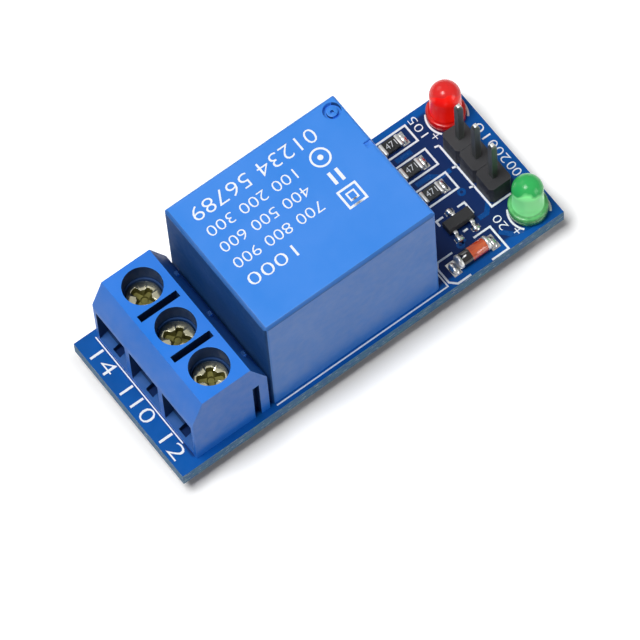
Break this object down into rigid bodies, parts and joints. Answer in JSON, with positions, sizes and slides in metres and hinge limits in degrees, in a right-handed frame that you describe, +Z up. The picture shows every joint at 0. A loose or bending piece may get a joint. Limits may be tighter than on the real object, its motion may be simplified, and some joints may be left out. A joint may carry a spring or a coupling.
{
  "type": "relay module board",
  "caption": "Narrow circuit board with a sealed power relay, a screw terminal block, a small driver circuit, a pin header and indicator lamps.",
  "frame": {"origin": "under the middle of the board, in the plane of the trimmed lead tips that it stands on", "axes": "+X along the board from the screw terminals to the header, +Y across it, +Z up from the board"},
  "size_m": [0.0436, 0.0168, 0.0187],
  "materials": {
    "board": "blue solder mask over glass-fibre board",
    "ink": "white printed ink",
    "solder": "bright solder",
    "terminal_plastic": "moulded blue plastic, semi-gloss",
    "screw_steel": "yellow-passivated zinc on steel",
    "clamp_steel": "nickel-plated steel",
    "tinned_brass": "tin-plated brass",
    "relay_plastic": "moulded blue plastic, satin",
    "relay_base_plastic": "moulded plastic",
    "bobbin_plastic": "natural moulded plastic",
    "copper_wire": "enamelled copper wire",
    "iron": "plated soft iron",
    "spring_bronze": "rolled spring bronze",
    "silver_contact": "silver alloy",
    "contact_copper": "stamped copper alloy",
    "pin_metal": "tin-plated lead",
    "header_plastic": "black moulded plastic",
    "red_epoxy": "red-tinted clear epoxy",
    "green_epoxy": "green-tinted clear epoxy",
    "led_chip": "semiconductor chip",
    "resistor_black": "black glaze on ceramic",
    "tinned_metal": "tin plate",
    "transistor_plastic": "black moulded epoxy",
    "diode_glass": "amber glass with a black band"
  },
  "bodies": {
    "module": {"pcb": "board", "silkscreen": "ink", "smd_solder": "solder", "tht_solder": "solder", "terminal_housing": "terminal_plastic", "terminal_contact_1": "tinned_brass", "terminal_contact_2": "tinned_brass", "terminal_contact_3": "tinned_brass", "relay_cover": "relay_plastic", "relay_base": "relay_base_plastic", "coil_bobbin": "bobbin_plastic", "coil_winding": "copper_wire", "core": "iron", "yoke": "iron", "nc_terminal": "contact_copper", "nc_contact": "silver_contact", "no_terminal": "contact_copper", "no_contact": "silver_contact", "coil_pin_1": "pin_metal", "coil_pin_2": "pin_metal", "header_housing": "header_plastic", "header_pin_1": "pin_metal", "header_pin_2": "pin_metal", "header_pin_3": "pin_metal", "red_led_lens": "red_epoxy", "red_led_anode": "pin_metal", "red_led_cathode": "pin_metal", "red_led_chip": "led_chip", "green_led_lens": "green_epoxy", "green_led_anode": "pin_metal", "green_led_cathode": "pin_metal", "green_led_chip": "led_chip", "resistor_1": "resistor_black", "resistor_2": "resistor_black", "resistor_3": "resistor_black", "resistor_caps_1": "tinned_metal", "resistor_caps_2": "tinned_metal", "resistor_caps_3": "tinned_metal", "transistor_body": "transistor_plastic", "transistor_leads": "tinned_metal", "diode_glass": "diode_glass", "diode_cap_1": "tinned_metal", "diode_cap_2": "tinned_metal"},
    "clamp_1": {"wire_clamp_1": "clamp_steel"},
    "screw_1": {"terminal_screw_1": "screw_steel"},
    "clamp_2": {"wire_clamp_2": "clamp_steel"},
    "screw_2": {"terminal_screw_2": "screw_steel"},
    "clamp_3": {"wire_clamp_3": "clamp_steel"},
    "screw_3": {"terminal_screw_3": "screw_steel"},
    "armature": {"armature": "iron", "contact_spring": "spring_bronze", "moving_contact": "silver_contact"}
  },
  "joints": [
    {"name": "clamp_1_lift", "type": "slide", "parent": "module", "child": "clamp_1", "axis": [0, 0, 1], "range_m": [0, 0.00169]},
    {"name": "screw_1_turn", "type": "hinge", "parent": "module", "child": "screw_1", "pos_m": [-0.0157, -0.00518, 0.0105], "axis": [0, 0, -1], "range_deg": [0, 1351]},
    {"name": "clamp_2_lift", "type": "slide", "parent": "module", "child": "clamp_2", "axis": [0, 0, 1], "range_m": [0, 0.00169]},
    {"name": "screw_2_turn", "type": "hinge", "parent": "module", "child": "screw_2", "pos_m": [-0.0157, -0.0001, 0.0105], "axis": [0, 0, -1], "range_deg": [0, 1351]},
    {"name": "clamp_3_lift", "type": "slide", "parent": "module", "child": "clamp_3", "axis": [0, 0, 1], "range_m": [0, 0.00169]},
    {"name": "screw_3_turn", "type": "hinge", "parent": "module", "child": "screw_3", "pos_m": [-0.0157, 0.00498, 0.0105], "axis": [0, 0, -1], "range_deg": [0, 1351]},
    {"name": "armature_rock", "type": "hinge", "parent": "module", "child": "armature", "pos_m": [0.0063, 0, 0.014], "axis": [0, -1, 0], "range_deg": [0, 2.9], "stiffness_Nm_per_rad": 0.01, "springref_deg": -8.59}
  ],
  "couplings": [
    {"joint": "screw_1_turn", "follows": "clamp_1_lift", "rad_per_m": 13963},
    {"joint": "screw_2_turn", "follows": "clamp_2_lift", "rad_per_m": 13963},
    {"joint": "screw_3_turn", "follows": "clamp_3_lift", "rad_per_m": 13963}
  ]
}
